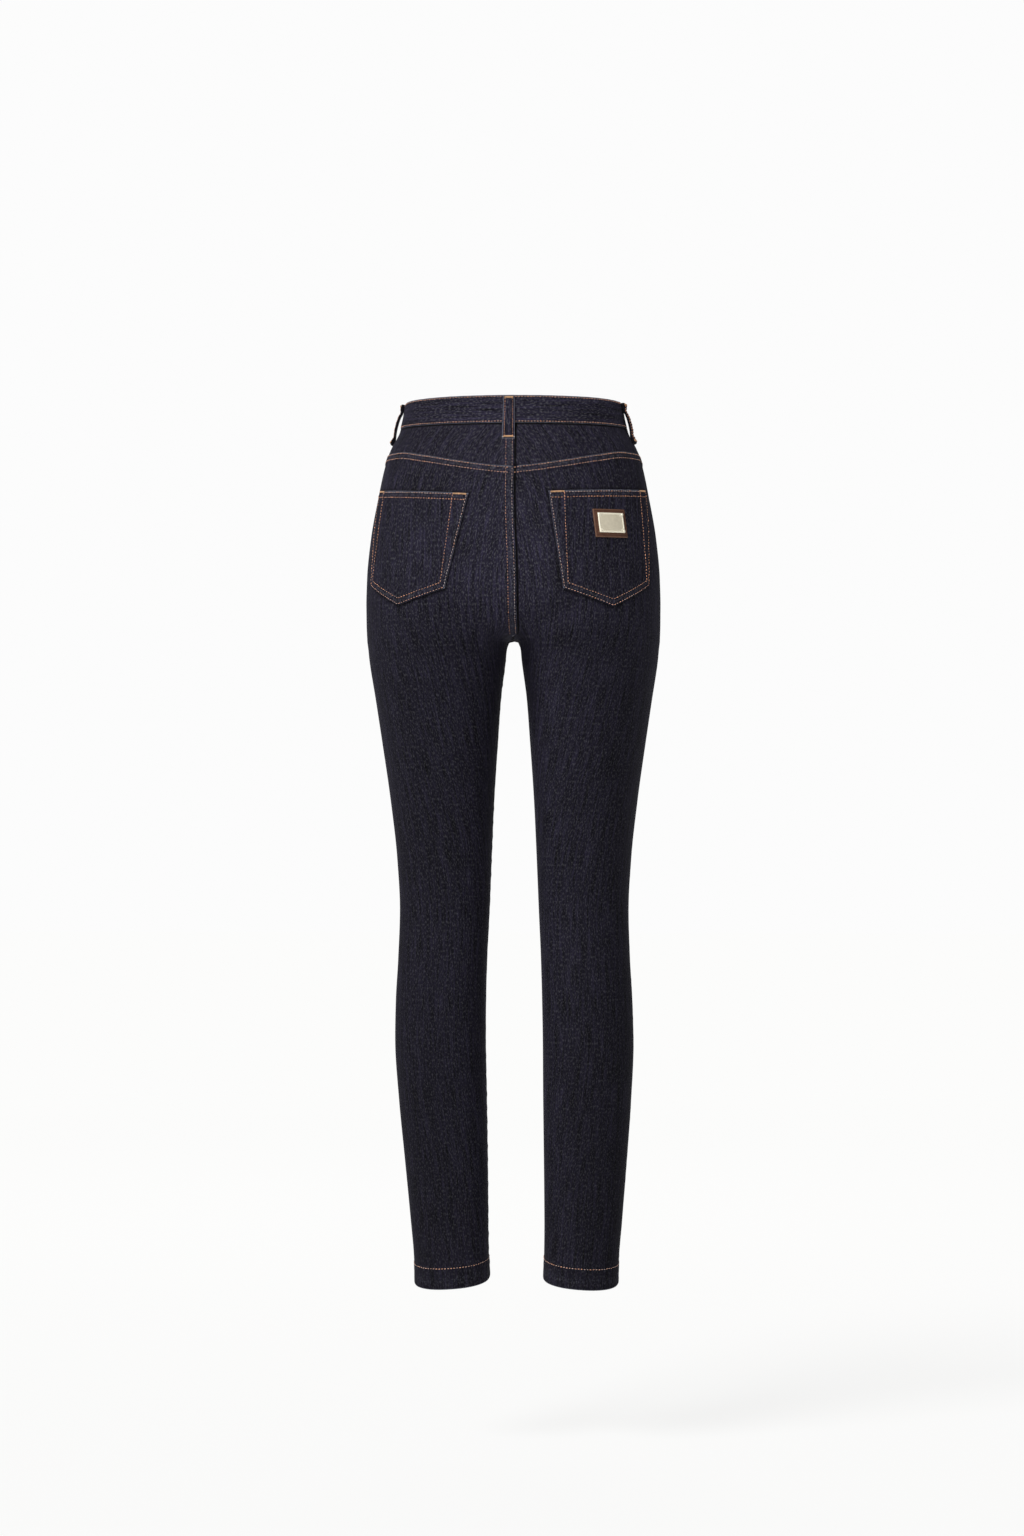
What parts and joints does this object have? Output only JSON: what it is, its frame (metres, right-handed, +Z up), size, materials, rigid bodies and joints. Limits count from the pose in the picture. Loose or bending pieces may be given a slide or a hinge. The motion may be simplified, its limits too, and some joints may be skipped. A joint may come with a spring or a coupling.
{
  "type": "skinny jeans",
  "caption": "High-rise dark indigo skinny jeans, filled out as worn, with yoke, two back pockets and a metal plate on a leather patch.",
  "frame": {"origin": "centre of the waist opening, halfway up the waistband", "axes": "+Z up, from hem to waist; the front faces -Y; the wearer's left is +X"},
  "size_m": [0.33, 0.2252, 0.9967],
  "materials": {
    "denim": "matt twill",
    "leather": "satin",
    "plated_metal": "brushed, pale gold plating"
  },
  "bodies": {
    "root": {"back_left": "denim", "back_right": "denim", "front_left": "denim", "front_right": "denim", "yoke_left": "denim", "yoke_right": "denim", "waistband": "denim", "belt_loop_back": "denim", "belt_loop_side_left": "denim", "belt_loop_side_right": "denim", "belt_loop_front_left": "denim", "belt_loop_front_right": "denim", "back_pocket_left": "denim", "back_pocket_right": "denim", "patch_leather": "leather", "patch_plate": "plated_metal", "patch_stud_1": "plated_metal", "patch_stud_2": "plated_metal", "patch_stud_3": "plated_metal", "patch_stud_4": "plated_metal", "button": "plated_metal"}
  },
  "joints": []
}
